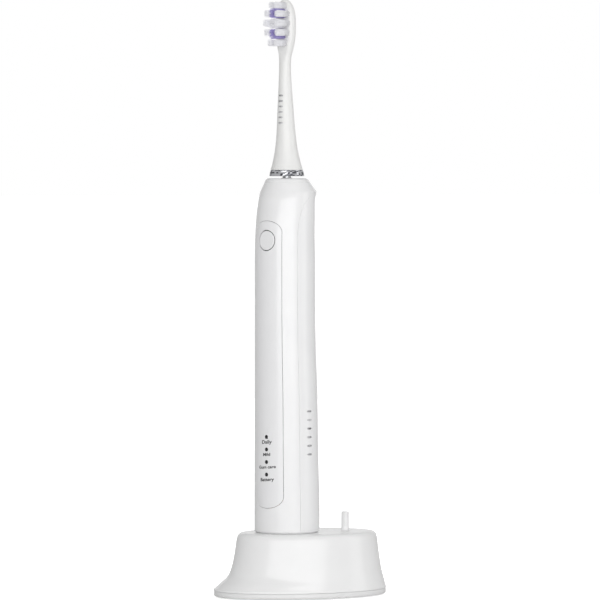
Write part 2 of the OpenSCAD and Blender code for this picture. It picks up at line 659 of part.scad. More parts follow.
// Metal strips that wedge the folded threads in their holes
module tuft_anchors() color("goldenrod") {
    for (p = outer_at) block([0.3, 1.5, 2.6], [plate_face - hole_deep + 0.2, p[1], p[0] - 1.3]);
    for (p = concat(inner_at, centre_at))
        block([0.3, 0.4, 1.5], [plate_face - hole_deep + 0.2, p[1], p[0] - 0.75]);
}

base_shell();
base_cover();
base_feet();
base_screws();
spare_head_peg();
cord_grommet();
base_board();
base_board_parts();
primary_coil();
primary_bobbin();
primary_ferrite();
on_handle() housing();
on_handle() front_panel();
on_handle() rear_grip();
on_handle() bottom_cap();
on_handle() bottom_cap_seal();
on_handle() shaft_seal();
on_handle() chassis();
on_handle() battery_cell();
on_handle() battery_tabs();
on_handle() battery_leads();
on_handle() secondary_coil();
on_handle() secondary_bobbin();
on_handle() main_board();
on_handle() board_chips();
on_handle() board_screws();
on_handle() indicator_leds();
on_handle() indicator_lenses();
on_handle() switch_case();
on_handle() button_seal();
on_handle() motor_can();
on_handle() motor_front_plate();
on_handle() motor_rear_plate();
on_handle() motor_coils();
on_handle() motor_core();
on_handle() motor_dampers();
on_handle() front_bushing();
on_handle() rear_bushing();
on_handle() power_button();
on_handle() switch_plunger();
on_handle() drive_shaft();
on_handle() rotor_core();
on_handle() rotor_magnets();
on_handle() shaft_clip();
on_head() brush_neck();
on_head() collar_ring();
on_head() shaft_socket();
on_head() socket_spring();
on_head() outer_tufts();
on_head() inner_tufts();
on_head() centre_tufts();
on_head() tuft_anchors();
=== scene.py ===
# %% [markdown]
# # A sonic toothbrush standing on its charging base
# This lesson dresses a mechanical model for its portrait. The frame holds every part at its true place,
# and each cell below makes one visible piece or one finish around it. All shapes are worked out in
# millimetres and turned to metres as the last step of each piece.

# %% Load the frame
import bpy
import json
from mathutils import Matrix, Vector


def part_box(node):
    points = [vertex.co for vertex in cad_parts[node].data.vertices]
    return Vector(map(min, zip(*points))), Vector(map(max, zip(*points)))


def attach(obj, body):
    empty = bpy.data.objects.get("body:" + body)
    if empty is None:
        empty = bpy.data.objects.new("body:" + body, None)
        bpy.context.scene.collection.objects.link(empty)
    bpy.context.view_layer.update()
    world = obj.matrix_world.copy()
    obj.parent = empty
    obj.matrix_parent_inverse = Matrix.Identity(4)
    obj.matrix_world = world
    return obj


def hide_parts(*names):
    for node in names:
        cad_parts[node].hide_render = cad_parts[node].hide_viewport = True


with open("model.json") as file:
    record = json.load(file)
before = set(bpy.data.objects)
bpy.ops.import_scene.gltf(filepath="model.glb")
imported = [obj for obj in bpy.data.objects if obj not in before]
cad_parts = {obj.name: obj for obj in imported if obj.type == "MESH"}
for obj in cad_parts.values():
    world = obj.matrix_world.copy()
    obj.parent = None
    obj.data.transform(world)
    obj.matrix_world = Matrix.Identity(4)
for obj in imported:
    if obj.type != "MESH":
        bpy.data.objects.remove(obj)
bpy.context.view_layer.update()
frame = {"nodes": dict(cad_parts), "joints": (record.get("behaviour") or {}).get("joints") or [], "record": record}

import json
import math
import random
import bmesh
import bpy
from mathutils import Matrix, Vector

MM = 0.001

# %% [markdown]
# The driving places are read from the frame: the axis that the handle stands on, the height of its foot,
# and the way its front looks. The power button travels straight into the handle, so the opposite of its
# joint's axis is the direction of the front.

# %% Places taken from the frame
def mid(node):
    low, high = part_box(node)
    return (low + high) / 2 / MM


def low_z(node):
    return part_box(node)[0].z / MM


def high_z(node):
    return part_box(node)[1].z / MM


press = next(j for j in frame["joints"] if j["name"] == "button_press")
front_turn = math.atan2(-press["axis"][1], -press["axis"][0])
sweep = next(j for j in frame["joints"] if j["name"] == "shaft_sweep")
axis_x, axis_y = sweep["pos_m"][0] / MM, sweep["pos_m"][1] / MM
handle_foot = low_z("bottom_cap")
ring_foot = low_z("collar_ring")
button_h = mid("power_button").z - handle_foot
base_low, base_high = (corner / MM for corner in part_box("base_shell"))
base_half_len = (base_high.x - base_low.x) / 2
base_half_wid = (base_high.y - base_low.y) / 2
peg_place = mid("spare_head_peg")
print(f"front turned {math.degrees(front_turn):.1f} deg")
print(f"foot at {handle_foot:.1f} mm, ring at {ring_foot:.1f} mm")

# %% [markdown]
# ## Camera and light
# The brush is seen from a little above the table, from far away through a long lens, so that its sides
# stay almost parallel. The camera comes first because everything else is judged through it.

# %% Camera
CAMERA_TURN = math.radians(-17.6)
CAMERA_DISTANCE = 2000
CAMERA_HEIGHT = 196.1
AIM_SIDE = 6.08
AIM_HEIGHT = 136.5
FIELD_OF_VIEW = math.radians(7.9)

away = Vector((math.sin(CAMERA_TURN), -math.cos(CAMERA_TURN), 0))
sideways = Vector((math.cos(CAMERA_TURN), math.sin(CAMERA_TURN), 0))
foot = Vector((axis_x, axis_y, 0))
camera_place = (foot + away * CAMERA_DISTANCE + Vector((0, 0, CAMERA_HEIGHT))) * MM
camera_aim = (foot + sideways * AIM_SIDE + Vector((0, 0, AIM_HEIGHT))) * MM
camera_data = bpy.data.cameras.new("camera")
camera_data.angle = FIELD_OF_VIEW
camera_data.clip_start = 0.05
camera = bpy.data.objects.new("camera", camera_data)
camera.location = camera_place
camera.rotation_euler = (camera_aim - camera_place).to_track_quat("-Z", "Y").to_euler()
bpy.context.scene.collection.objects.link(camera)
bpy.context.scene.camera = camera
print(f"camera at {camera_place.length:.2f} m, lens {camera_data.lens:.0f} mm")

# %% [markdown]
# ## Finishes
# Colours are chosen as the sRGB hex values that a painter would pick, and turned to linear light by one
# function. A few more small functions add a shader node with its settings and links, so each finish below
# reads like a recipe. Patterns use Object coordinates, and their sizes are given in millimetres.

# %% Colour and node helpers
def linear(hex_colour):
    channels = [int(hex_colour[i:i + 2], 16) / 255 for i in (1, 3, 5)]
    return [c / 12.92 if c <= 0.04045 else ((c + 0.055) / 1.055) ** 2.4 for c in channels] + [1]


def add_node(tree, kind, settings, links=None):
    node = tree.nodes.new(kind)
    for name, value in settings.items():
        if isinstance(name, int) or name in node.inputs:
            node.inputs[name].default_value = value
        else:
            setattr(node, name, value)
    for name, source in (links or {}).items():
        tree.links.new(source, node.inputs[name])
    return node


def start_finish(name):
    material = bpy.data.materials.new(name)
    material.use_nodes = True
    tree = material.node_tree
    tree.nodes.clear()
    place = add_node(tree, "ShaderNodeTexCoord", {}).outputs["Object"]
    return material, tree, place


def end_finish(material, tree, settings, links):
    shader = add_node(tree, "ShaderNodeBsdfPrincipled", settings, links)
    add_node(tree, "ShaderNodeOutputMaterial", {}, {"Surface": shader.outputs["BSDF"]})
    return material


def per_metre(size_mm):
    return 1 / (size_mm * MM)


def noise(tree, place, size_mm, detail):
    settings = {"Scale": per_metre(size_mm), "Detail": detail}
    return add_node(tree, "ShaderNodeTexNoise", settings, {"Vector": place}).outputs["Fac"]


def bands_along_z(tree, place, size_mm, distortion, detail):
    # the texture turns 20 radians per unit, so its bands come 2 pi times this size apart
    settings = {"bands_direction": "Z", "Scale": per_metre(size_mm) / 20,
                "Distortion": distortion, "Detail": detail}
    return add_node(tree, "ShaderNodeTexWave", settings, {"Vector": place}).outputs["Fac"]


def blend(tree, factor, first, second):
    mix = add_node(tree, "ShaderNodeMix", {"data_type": "RGBA"}, {"Factor": factor})
    mix.inputs[6].default_value = linear(first)
    mix.inputs[7].default_value = linear(second)
    return mix.outputs[2]


def spread(tree, factor, low, high):
    settings = {"To Min": low, "To Max": high}
    return add_node(tree, "ShaderNodeMapRange", settings, {"Value": factor}).outputs["Result"]


def bump(tree, height, strength, depth_mm, under=None):
    links = {"Height": height}
    if under is not None:
        links["Normal"] = under
    settings = {"Strength": strength, "Distance": depth_mm * MM}
    return add_node(tree, "ShaderNodeBump", settings, links).outputs["Normal"]


FINISHES = {}

# %% [markdown]
# ### Moulded plastics
# ABS, POM and nylon parts leave a steel mould. A polished mould gives a gloss with a faint waviness where
# the plastic shrank, seen as soft wobble in highlights a few millimetres across. A blasted mould gives a
# fine grain that scatters light. One recipe covers both: a wide noise for shrinkage, a fine one for
# grain, and a slight drift of colour and roughness that keeps the surface from looking computed.

# %% Moulded plastic
SHRINK_SIZE = 9
SHRINK_DEPTH = 0.02


def moulded_plastic(name, colour, shade, roughness, grain_mm, grain_depth_mm, ior=1.53, coat=0.0):
    material, tree, place = start_finish(name)
    wide = noise(tree, place, SHRINK_SIZE, 2)
    fine = noise(tree, place, grain_mm, 3)
    shrink = bump(tree, wide, 0.25, SHRINK_DEPTH)
    return end_finish(material, tree, {"IOR": ior, "Coat Weight": coat, "Coat Roughness": 0.05}, {
        "Base Color": blend(tree, wide, colour, shade),
        "Roughness": spread(tree, fine, roughness * 0.85, roughness * 1.15),
        "Normal": bump(tree, fine, 0.5, grain_depth_mm, shrink)})


# finish: name of the material, colour, shade, roughness, size and depth of the grain, IOR, clear coat
PLASTICS = {
    # ABS is polished for the handle, so its gloss is clear; the base comes from a slightly softer polish
    "white_abs": ("white_abs_polished", "#F3F3F3", "#EFEFF0", 0.22, 0.4, 0.002, 1.53, 0.1),
    "white_panel": ("white_panel_polished", "#F1F1F2", "#EEEEEF", 0.2, 0.4, 0.002, 1.53, 0.15),
    "white_base": ("white_abs_base", "#F2F2F2", "#EEEEEE", 0.24, 0.5, 0.003, 1.53, 0.1),
    # POM is waxy, so its highlights are wide
    "head_pom": ("head_pom_moulded", "#EFEFEE", "#EAEAE8", 0.3, 0.5, 0.003, 1.48),
    "cover_abs": ("cover_abs_blasted", "#EBEBEB", "#E4E4E4", 0.42, 0.3, 0.01),
    "nylon": ("nylon_natural", "#E9E2CF", "#DDD4BC", 0.45, 0.4, 0.01),
    "ferrite": ("ferrite_sintered", "#2B2B2D", "#1F1F21", 0.7, 0.12, 0.02, 2.2),
    "chip_black": ("epoxy_package", "#1C1C1E", "#232325", 0.5, 0.15, 0.01),
    "led_resin": ("led_clear_resin", "#E7DA84", "#DDCB6A", 0.15, 0.5, 0.001),
    "smoke_lens": ("smoked_polycarbonate", "#0B0B0D", "#101013", 0.12, 0.6, 0.001, 1.585),
    "cell_wrap": ("cell_shrink_wrap", "#2A7A54", "#256E4B", 0.28, 1.2, 0.01),
    "wire_red": ("lead_insulation", "#A81E18", "#951A15", 0.35, 0.6, 0.004),
    # pad-printed ink lies on the plastic as a matt film
    "grey_ink": ("grey_pad_ink", "#3C3C3E", "#464648", 0.55, 0.2, 0.004),
    "pale_ink": ("pale_pad_ink", "#CBCBCD", "#D1D1D3", 0.5, 0.2, 0.004),
}
for finish, recipe in PLASTICS.items():
    FINISHES[finish] = moulded_plastic(*recipe)
print("plastics:", len(FINISHES))

# %% [markdown]
# ### Elastomers
# Silicone and TPE seals are matt and carry the fine texture of a spark-eroded mould, so they take the
# same recipe with more roughness and a deeper grain. The feet are denser and darker than the seals.

# %% Elastomer
ELASTOMERS = {
    "grey_elastomer": ("silicone_seal", "#8E8E91", "#858588", 0.6, 0.25, 0.015, 1.43),
    "foot_rubber": ("foot_tpe", "#7B7B7E", "#727275", 0.75, 0.2, 0.03, 1.45),
}
for finish, recipe in ELASTOMERS.items():
    FINISHES[finish] = moulded_plastic(*recipe)

# %% [markdown]
# ### Metals
# A metal has no colour under its gloss, only a tinted reflection, and it keeps the default IOR. What
# tells one from another is how it was worked. A turned shaft carries faint rings round its axis, drawn by
# a texture of bands along Z. Plated and sintered metals also vary from spot to spot, which a fine noise
# draws.

# %% Metal
def worked_metal(name, colour, shade, roughness, ring_mm, ring_depth_mm, pore_mm, metallic=1.0):
    material, tree, place = start_finish(name)
    to_axis = {"Location": (-axis_x * MM, -axis_y * MM, 0)}
    centred = add_node(tree, "ShaderNodeMapping", to_axis, {"Vector": place}).outputs["Vector"]
    rings = bands_along_z(tree, centred, ring_mm, 0.6, 2)
    pores = noise(tree, place, pore_mm, 4)
    return end_finish(material, tree, {"Metallic": metallic}, {
        "Base Color": blend(tree, pores, colour, shade),
        "Roughness": spread(tree, pores, roughness * 0.8, roughness * 1.25),
        "Normal": bump(tree, rings, 0.4, ring_depth_mm)})


# finish: name of the material, colour, shade, roughness, size and depth of the rings, size of the pores
METALS = {
    "steel": ("stainless_turned", "#C9CBCD", "#BDBFC2", 0.22, 0.25, 0.004, 0.6),
    "zinc_steel": ("steel_zinc_plated", "#B9BCC0", "#A7AAAF", 0.35, 0.6, 0.003, 1.5),
    # the last figure is how much of the ring's colour is metal, for plating over bright plastic
    "chrome_trim": ("chrome_plated_ring", "#CFD0D3", "#C3C4C8", 0.16, 0.8, 0.001, 1.0, 0.7),
    # a darker copy of the chrome for facets of the ring picked at random, a painted reflection of dark
    # surroundings
    "chrome_painted_dark": ("chrome_painted_dark_reflection", "#66676C", "#595A5F", 0.2, 0.8, 0.001, 1.0),
    "bronze": ("bronze_sintered", "#B98A55", "#9A6F40", 0.45, 0.5, 0.004, 0.15),
    "magnet": ("magnet_nickel_plated", "#AFAFB1", "#A2A2A5", 0.25, 1.0, 0.002, 0.8),
}
for finish, recipe in METALS.items():
    FINISHES[finish] = worked_metal(*recipe)
print("metals:", list(METALS))

# %% [markdown]
# ### Windings and circuit boards
# A coil is hundreds of turns of enamelled wire laid side by side, so its surface is a stack of round
# ridges. Bands along Z, one for about six turns, drive both the height and a painted shade: a darker copper
# in the grooves, where shade falls between the turns.
# The board is glass-epoxy under a green lacquer with copper tracks just below, drawn by a blocky Voronoi
# pattern.

# %% Winding and board
def wound_wire(name, copper, groove_shade, wire_mm):
    material, tree, place = start_finish(name)
    turns = bands_along_z(tree, place, wire_mm, 0.4, 1)
    # the grooves between turns take the darker colour, which is painted shade
    return end_finish(material, tree, {"Metallic": 0.8, "Roughness": 0.3, "Coat Weight": 0.5}, {
        "Base Color": blend(tree, turns, groove_shade, copper), "Normal": bump(tree, turns, 0.8, wire_mm / 2)})


def lacquered_board(name, lacquer, track, cell_mm):
    material, tree, place = start_finish(name)
    blocky = {"distance": "CHEBYCHEV", "feature": "DISTANCE_TO_EDGE",
              "Scale": per_metre(cell_mm), "Randomness": 0.7}
    cells = add_node(tree, "ShaderNodeTexVoronoi", blocky, {"Vector": place})
    lines = add_node(tree, "ShaderNodeMapRange", {"From Min": 0.05, "From Max": 0.12},
                     {"Value": cells.outputs["Distance"]}).outputs["Result"]
    raised = add_node(tree, "ShaderNodeBump", {"Strength": 0.3, "Distance": 0.035 * MM, "invert": True},
                      {"Height": lines})
    return end_finish(material, tree, {"Roughness": 0.25, "IOR": 1.55}, {
        "Base Color": blend(tree, lines, track, lacquer), "Normal": raised.outputs["Normal"]})


# the second colour is painted shade for the grooves of the winding
FINISHES["copper_wire"] = wound_wire("copper_enamelled_winding", "#C77A45", "#6B3A1E", 0.3)
FINISHES["circuit_board"] = lacquered_board("board_green_lacquer", "#1E6B3D", "#2F8A52", 2.2)

# %% [markdown]
# ### Bristles
# A bristle is an extruded nylon thread, nearly clear, so a tuft glows where light passes through it and
# darkens between the threads. A faint glow stands in for the light that the threads pass on to one
# another. A slight change of tone, from noise of thread size, separates neighbours that are finer than a
# view shows.

# %% Bristle nylon
def bristle_nylon(name, colour, shade, glow):
    material, tree, place = start_finish(name)
    tone = blend(tree, noise(tree, place, 0.25, 1), colour, shade)
    return end_finish(material, tree, {"Roughness": 0.4, "IOR": 1.53, "Emission Strength": glow},
                      {"Base Color": tone, "Emission Color": tone})


FINISHES["bristle_white"] = bristle_nylon("nylon_thread_white", "#F2F2F4", "#E8E8EC", 0.1)
FINISHES["bristle_violet"] = bristle_nylon("nylon_thread_violet", "#B5ABDE", "#A095D0", 0.06)
print("finishes:", len(FINISHES))

# %% [markdown]
# Every part that is shown as the frame made it takes the finish of its slot. Most of these parts are
# inside: they show when the brush is lifted, its head is pulled, or the casing is cut open.

# %% Dress the parts that stay
slot_of = {part["node"]: part["material_slot"] for part in frame["record"]["subparts"]}
for node, part in frame["nodes"].items():
    part.data.materials.clear()
    part.data.materials.append(FINISHES[slot_of[node]])
print("dressed", len(slot_of), "parts")

# %% [markdown]
# ## Building tools
# New pieces are made with bmesh operators. `loft` stacks circles, each squeezed to its section, and
# bridges them. `grow_ring` extrudes an open edge loop and moves the new loop by a rule, which is how
# holes, rims and caps are drawn. `finish_piece` closes the work: it merges doubles, turns the normals
# outward, scales to metres and hangs the piece on its body.

# %% Mesh helpers
def power_point(turn, squareness):
    c, s = math.cos(turn), math.sin(turn)
    return (math.copysign(abs(c) ** (2 / squareness), c), math.copysign(abs(s) ** (2 / squareness), s))


def section_ring(bm, segments, x, y, z, half_x, half_y, squareness=2):
    ring = bmesh.ops.create_circle(bm, segments=segments, radius=1)["verts"]
    for i, vert in enumerate(ring):
        c, s = power_point(2 * math.pi * i / segments, squareness)
        vert.co = (x + half_x * c, y + half_y * s, z)
    return list({edge for vert in ring for edge in vert.link_edges})


def loft(bm, segments, sections, close_start=False, close_end=False):
    rings = [section_ring(bm, segments, *section) for section in sections]
    for lower, upper in zip(rings, rings[1:]):
        bmesh.ops.bridge_loops(bm, edges=lower + upper)
    for wanted, ring in ((close_start, rings[0]), (close_end, rings[-1])):
        if wanted:
            bmesh.ops.edgeloop_fill(bm, edges=ring)


def open_edges(bm, near=lambda point: True):
    return [e for e in bm.edges if e.is_boundary and near((e.verts[0].co + e.verts[1].co) / 2)]


def grow_ring(bm, edges, rule):
    made = bmesh.ops.extrude_edge_only(bm, edges=edges)["geom"]
    verts = [g for g in made if isinstance(g, bmesh.types.BMVert)]
    for vert in verts:
        vert.co = rule(vert.co.copy())
    fresh = set(verts)
    return [e for e in bm.edges if e.verts[0] in fresh and e.verts[1] in fresh]


def onto_ring(radius, z):
    def move(p):
        reach = math.hypot(p.x, p.y)
        return Vector((p.x * radius / reach, p.y * radius / reach, z))

    return move


def spun(bm, profile, segments):
    verts = [bm.verts.new((radius, 0, z)) for radius, z in profile]
    edges = [bm.edges.new(pair) for pair in zip(verts, verts[1:])]
    bmesh.ops.spin(bm, geom=verts + edges, cent=(0, 0, 0), axis=(0, 0, 1), angle=2 * math.pi,
                   steps=segments, use_merge=True)


def add_modifier(piece, kind, **settings):
    modifier = piece.modifiers.new(kind.title(), kind)
    for name, value in settings.items():
        setattr(modifier, name, value)


def round_edges(piece, width_mm, segments=3, angle=35):
    add_modifier(piece, "BEVEL", width=width_mm * MM, segments=segments, limit_method="ANGLE",
                 angle_limit=math.radians(angle), harden_normals=True, use_clamp_overlap=True)


def thicken(piece, wall_mm):
    add_modifier(piece, "SOLIDIFY", thickness=wall_mm * MM, offset=-1)


MERGE = 0.002


def finish_piece(bm, name, finish, body, replaces=(), more_finishes=()):
    bmesh.ops.remove_doubles(bm, verts=bm.verts, dist=MERGE)
    bmesh.ops.recalc_face_normals(bm, faces=bm.faces)
    middle = sum((v.co for v in bm.verts), Vector()) / len(bm.verts)
    inner = Vector((axis_x, axis_y, middle.z)) if body != "charger" else middle
    if sum(f.normal.dot(f.calc_center_median() - inner) * f.calc_area() for f in bm.faces) < 0:
        bmesh.ops.reverse_faces(bm, faces=bm.faces)
    bmesh.ops.scale(bm, vec=(MM, MM, MM), verts=bm.verts)
    for face in bm.faces:
        face.smooth = True
    mesh = bpy.data.meshes.new(name)
    bm.to_mesh(mesh)
    bm.free()
    for slot in (finish, *more_finishes):
        mesh.materials.append(FINISHES[slot])
    piece = bpy.data.objects.new(name, mesh)
    bpy.context.scene.collection.objects.link(piece)
    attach(piece, body)
    if replaces:
        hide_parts(*replaces)
    print(f"{name}: {len(mesh.polygons)} faces on {body}")
    return piece


def turn_to_front(bm, height):
    bmesh.ops.rotate(bm, cent=(0, 0, 0), matrix=Matrix.Rotation(front_turn, 3, "Z"), verts=bm.verts)
    bmesh.ops.translate(bm, vec=(axis_x, axis_y, height), verts=bm.verts)


# %% [markdown]
# ## The charging base
# The base is one moulding: an oval bell that flares like a skirt, further at the front than at the back,
# with a post on top that carries the charging coil up inside the handle. It could be carved from a block,
# but its outline changes from an oval at the rim to a circle at the post without a break, and that is
# exactly what a loft does. The wall is added afterwards, as the mould would leave it.

# %% Base shell
# height above the table, inset of the length, inset of the width, shift along X
BASE_ROWS = [(3.1, 0, 0, 0), (3.5, 0, 0, 0), (3.9, 0.05, 0.02, 0), (4.2, 0.35, 0.15, 0.2),
             (5.1, 1.05, 0.35, 0.6), (6.1, 1.75, 0.5, 1), (7.2, 2.6, 0.75, 1.6), (8.2, 3.4, 1, 2.1),
             (9.4, 4.15, 1.2, 2.5), (10.8, 4.8, 1.4, 2.75), (13.2, 5.5, 1.65, 2.95), (15.9, 6.1, 1.85, 3.1),
             (20.5, 6.95, 2.15, 3.2)]
BASE_TOP = 29.6
# the same for the shoulder, but measured down from the top
BASE_SHOULDER = [(3.9, 7.5, 2.4, 3.25), (1.6, 8, 2.9, 3.3), (0.7, 8.6, 3.5, 3.3), (0.2, 9.5, 4.3, 3.3),
                 (0, 10.6, 5.3, 3.3)]
POST_RADIUS = 6
# the post's fillet as distance out and up, and its rounded top as distance in and down
POST_FILLET = [(0.75, 0.04), (0.35, 0.2), (0.1, 0.5), (0, 1)]
POST_CROWN = [(0, 1.5), (0.15, 0.8), (0.5, 0.25), (1.1, 0), (3, 0)]
BASE_WALL = 1.4
post_top = high_z("base_shell")

sections = [(shift, 0, z, base_half_len - length, base_half_wid - width)
            for z, length, width, shift in BASE_ROWS]
sections += [(shift, 0, BASE_TOP - drop, base_half_len - length, base_half_wid - width)
             for drop, length, width, shift in BASE_SHOULDER]
shift, _, _, half_len, half_wid = sections[-1]
post_foot = POST_RADIUS + 1
for step in (0.35, 0.7, 0.95):
    sections.append((shift + (axis_x - shift) * step, 0, BASE_TOP,
                     half_len + (post_foot - half_len) * step, half_wid + (post_foot - half_wid) * step))
for out, up in POST_FILLET:
    sections.append((axis_x, 0, BASE_TOP + up, POST_RADIUS + out, POST_RADIUS + out))
for inset, drop in POST_CROWN:
    sections.append((axis_x, 0, post_top - drop, POST_RADIUS - inset, POST_RADIUS - inset))
bm = bmesh.new()
loft(bm, 128, sections, close_end=True)
base_shell = finish_piece(bm, "base_shell_moulding", "white_base", "charger", ["base_shell"])
thicken(base_shell, BASE_WALL)
round_edges(base_shell, 0.15)
add_modifier(base_shell, "SUBSURF", levels=1, render_levels=1)

# %% [markdown]
# The cover closes the base from below and makes the lower half of the rim, so a fine parting line runs
# all round. It is a flat oval plate: a circle pressed to the rim's shape, extruded, with rounded edges.
# Its screws, feet and cooling slots sit in recesses, which are cut by a Boolean because they are plain
# holes in a flat face.

# %% Base cover
def cut_with(piece, cutter_bm):
    mesh = bpy.data.meshes.new("cutter")
    bmesh.ops.recalc_face_normals(cutter_bm, faces=cutter_bm.faces)
    cutter_bm.to_mesh(mesh)
    cutter_bm.free()
    cutter = bpy.data.objects.new("cutter", mesh)
    bpy.context.scene.collection.objects.link(cutter)
    add_modifier(piece, "BOOLEAN", object=cutter, operation="DIFFERENCE", solver="EXACT")
    bpy.context.view_layer.update()
    result = bpy.data.meshes.new_from_object(piece.evaluated_get(bpy.context.evaluated_depsgraph_get()))
    piece.modifiers.clear()
    piece.data = result
    bpy.data.objects.remove(cutter)


def add_disc(cutter, place, radius, depth, segments):
    bmesh.ops.create_cone(cutter, cap_ends=True, segments=segments, radius1=radius, radius2=radius,
                          depth=depth, matrix=Matrix.Translation((*place, 0)))


# height above the cover's foot, inset from the rim of the base
COVER_ROWS = [(0, 0.65), (0.15, 0.325), (0.5, 0.12), (2.35, 0.1), (2.5, 0.25)]
SCREW_WELLS = [(-28.5, 0), (13.5, 13.5), (13.5, -13.5)]
FOOT_POCKETS = [(-24, -9), (-24, 9), (24, -9), (24, 9)]
SLOT_SIZE = (2, 18, 8)
SLOT_PLACES = (-9, -3, 3, 9)
cover_low = low_z("base_cover")
bm = bmesh.new()
loft(bm, 128, [(0, 0, cover_low + up, base_half_len - inset, base_half_wid - inset)
               for up, inset in COVER_ROWS], close_start=True, close_end=True)
base_cover = finish_piece(bm, "base_cover_plate", "cover_abs", "charger", ["base_cover"])
cutter = bmesh.new()
for place in SCREW_WELLS:
    add_disc(cutter, place, 2.6, 3.4, 48)
for place in FOOT_POCKETS:
    add_disc(cutter, place, 4.05, 2.6, 64)
for place in SLOT_PLACES:
    slot = bmesh.ops.create_cube(cutter, size=1)["verts"]
    bmesh.ops.scale(cutter, vec=SLOT_SIZE, verts=slot)
    bmesh.ops.translate(cutter, vec=(axis_x + place, 0, 0), verts=slot)
bmesh.ops.scale(cutter, vec=(MM, MM, MM), verts=cutter.verts)
cut_with(base_cover, cutter)
for polygon in base_cover.data.polygons:
    polygon.use_smooth = len(polygon.vertices) <= 4 and abs(polygon.normal.z) < 0.98
print("cover cut:", len(base_cover.data.polygons), "faces")

# %% [markdown]
# A spare head is stored on a short peg. Its drive end is flattened on one side like the brush's own
# shaft, so that a head slides on only one way. The profile is spun, and the flat is made by pressing the
# upper part in on one side.

# %% Spare-head peg
PEG_RADIUS = 1.75
PEG_FLAT = 0.25
PEG_TURN = 217.5
# radius, height above the base's top
PEG_FOOT = [(0, -1), (2.35, -1), (2.35, -0.02), (2.1, 0.1), (1.92, 0.3), (1.8, 0.65), (PEG_RADIUS, 1.2),
            (PEG_RADIUS, 3)]
peg_top = high_z("spare_head_peg")
profile = [(radius, BASE_TOP + up) for radius, up in PEG_FOOT]
profile += [(PEG_RADIUS, peg_top - 0.2), (PEG_RADIUS - 0.2, peg_top), (0, peg_top)]
bm = bmesh.new()
spun(bm, profile, 64)
for vert in bm.verts:
    if vert.co.z > BASE_TOP + 1.4:
        vert.co.x = min(vert.co.x, PEG_RADIUS - PEG_FLAT)
bmesh.ops.rotate(bm, cent=(0, 0, 0), matrix=Matrix.Rotation(math.radians(PEG_TURN), 3, "Z"), verts=bm.verts)
bmesh.ops.translate(bm, vec=(peg_place.x, peg_place.y, 0), verts=bm.verts)
peg = finish_piece(bm, "spare_head_peg_moulding", "white_base", "charger", ["spare_head_peg"])
round_edges(peg, 0.06, angle=22)

# %% [markdown]
# ## The handle
# Three mouldings make the outside of the handle: a front shell, a long panel let into it, and a rear grip
# whose upper edge sweeps back to a small lip. All three share one skin, a stack of circles whose middle
# moves a little forward and whose size changes slowly. So each is drawn flat, as on an unrolled label,
# where a panel is a plain oval slot, and is then wrapped onto the skin. Seams meet exactly because both
# sides come from the same sheet.

# %% The skin of the handle
# height above the foot, forward offset of the middle, radius
LIP = 156.7
BODY_ROWS = [(0, 0, 14.3), (0.7, 0, 14.95), (12, 0, 14.95), (35, 0.4, 14.65), (62, 0.65, 14.45),
             (82, 1.2, 14.1), (100, 1.5, 13.9), (128, 1.55, 13.85), (136.7, 1.5, 13.65), (146.1, 0.9, 13.4),
             (151.2, 0.3, 13.1), (153.9, -0.25, 13.05), (LIP, -1.2, 12.95), (159.4, -0.65, 11.4),
             (160.8, -0.4, 10.6), (162.2, -0.1, 9.8), (162.8, 0, 8.9)]
# heights at which the skin turns a corner instead of flowing on
CORNERS = (0.7, LIP, 162.2)
# the radius at which the flat sheet is measured
FLAT_RADIUS = 14
CAP_SEAM = 161
CAP_SEAM_DEPTH = 0.15
handle_len = BODY_ROWS[-1][0]


def smooth_value(rows, h, column):
    heights = [row[0] for row in rows]
    i = max(k for k in range(len(rows) - 1) if heights[k] <= h or k == 0)
    h0, h1 = heights[i], heights[i + 1]
    v0, v1 = rows[i][column], rows[i + 1][column]
    chord = (v1 - v0) / (h1 - h0)

    def slope(k):
        if k == 0 or k == len(rows) - 1 or heights[k] in CORNERS:
            return chord
        return (rows[k + 1][column] - rows[k - 1][column]) / (heights[k + 1] - heights[k - 1])

    t = (h - h0) / (h1 - h0)
    m0, m1 = slope(i) * (h1 - h0), slope(i + 1) * (h1 - h0)
    return (v0 * (2 * t ** 3 - 3 * t ** 2 + 1) + m0 * (t ** 3 - 2 * t ** 2 + t)
            + v1 * (3 * t ** 2 - 2 * t ** 3) + m1 * (t ** 3 - t ** 2))


def on_skin(across, h, out=0):
    turn = across / FLAT_RADIUS
    radius = smooth_value(BODY_ROWS, h, 2) + out
    if abs(h - CAP_SEAM) < 0.05:
        radius -= CAP_SEAM_DEPTH
    return Vector((smooth_value(BODY_ROWS, h, 1) + radius * math.cos(turn), radius * math.sin(turn), h))


def wrap(bm):
    for vert in bm.verts:
        vert.co = on_skin(vert.co.x, min(max(vert.co.y, 0), handle_len), vert.co.z)


# angle of the seam between the front shell and the rear grip, from the front, over the height
SEAM = [(0, 63), (135.7, 63), (141.7, 65), (146.2, 69), (150.7, 76), (154.1, 89), (156, 110), (LIP, 128),
        (163, 128)]


def seam_turn(h):
    for (h0, a0), (h1, a1) in zip(SEAM, SEAM[1:]):
        if h <= h1:
            return math.radians(a0 + (a1 - a0) * (h - h0) / (h1 - h0))
    return math.radians(SEAM[-1][1])


EVEN_FROM = 5.2
EVEN_TO = 150.4
EVEN_STEP = 1.2
FINE_STEP = 0.7
sheet_rows = [0, 0.12, 0.3, 0.7, 1.2, 2.4, 4]
sheet_rows += [EVEN_FROM + EVEN_STEP * i for i in range(round((EVEN_TO - EVEN_FROM) / EVEN_STEP))]
sheet_rows += [EVEN_TO + FINE_STEP * i for i in range(9)]
sheet_rows += [LIP, 157.4, 158.1, 158.8, 159.4, 160.1, 160.8, 160.9, CAP_SEAM, 161.1, 161.2, 161.7, 162.2,
               162.4, 162.6, handle_len]
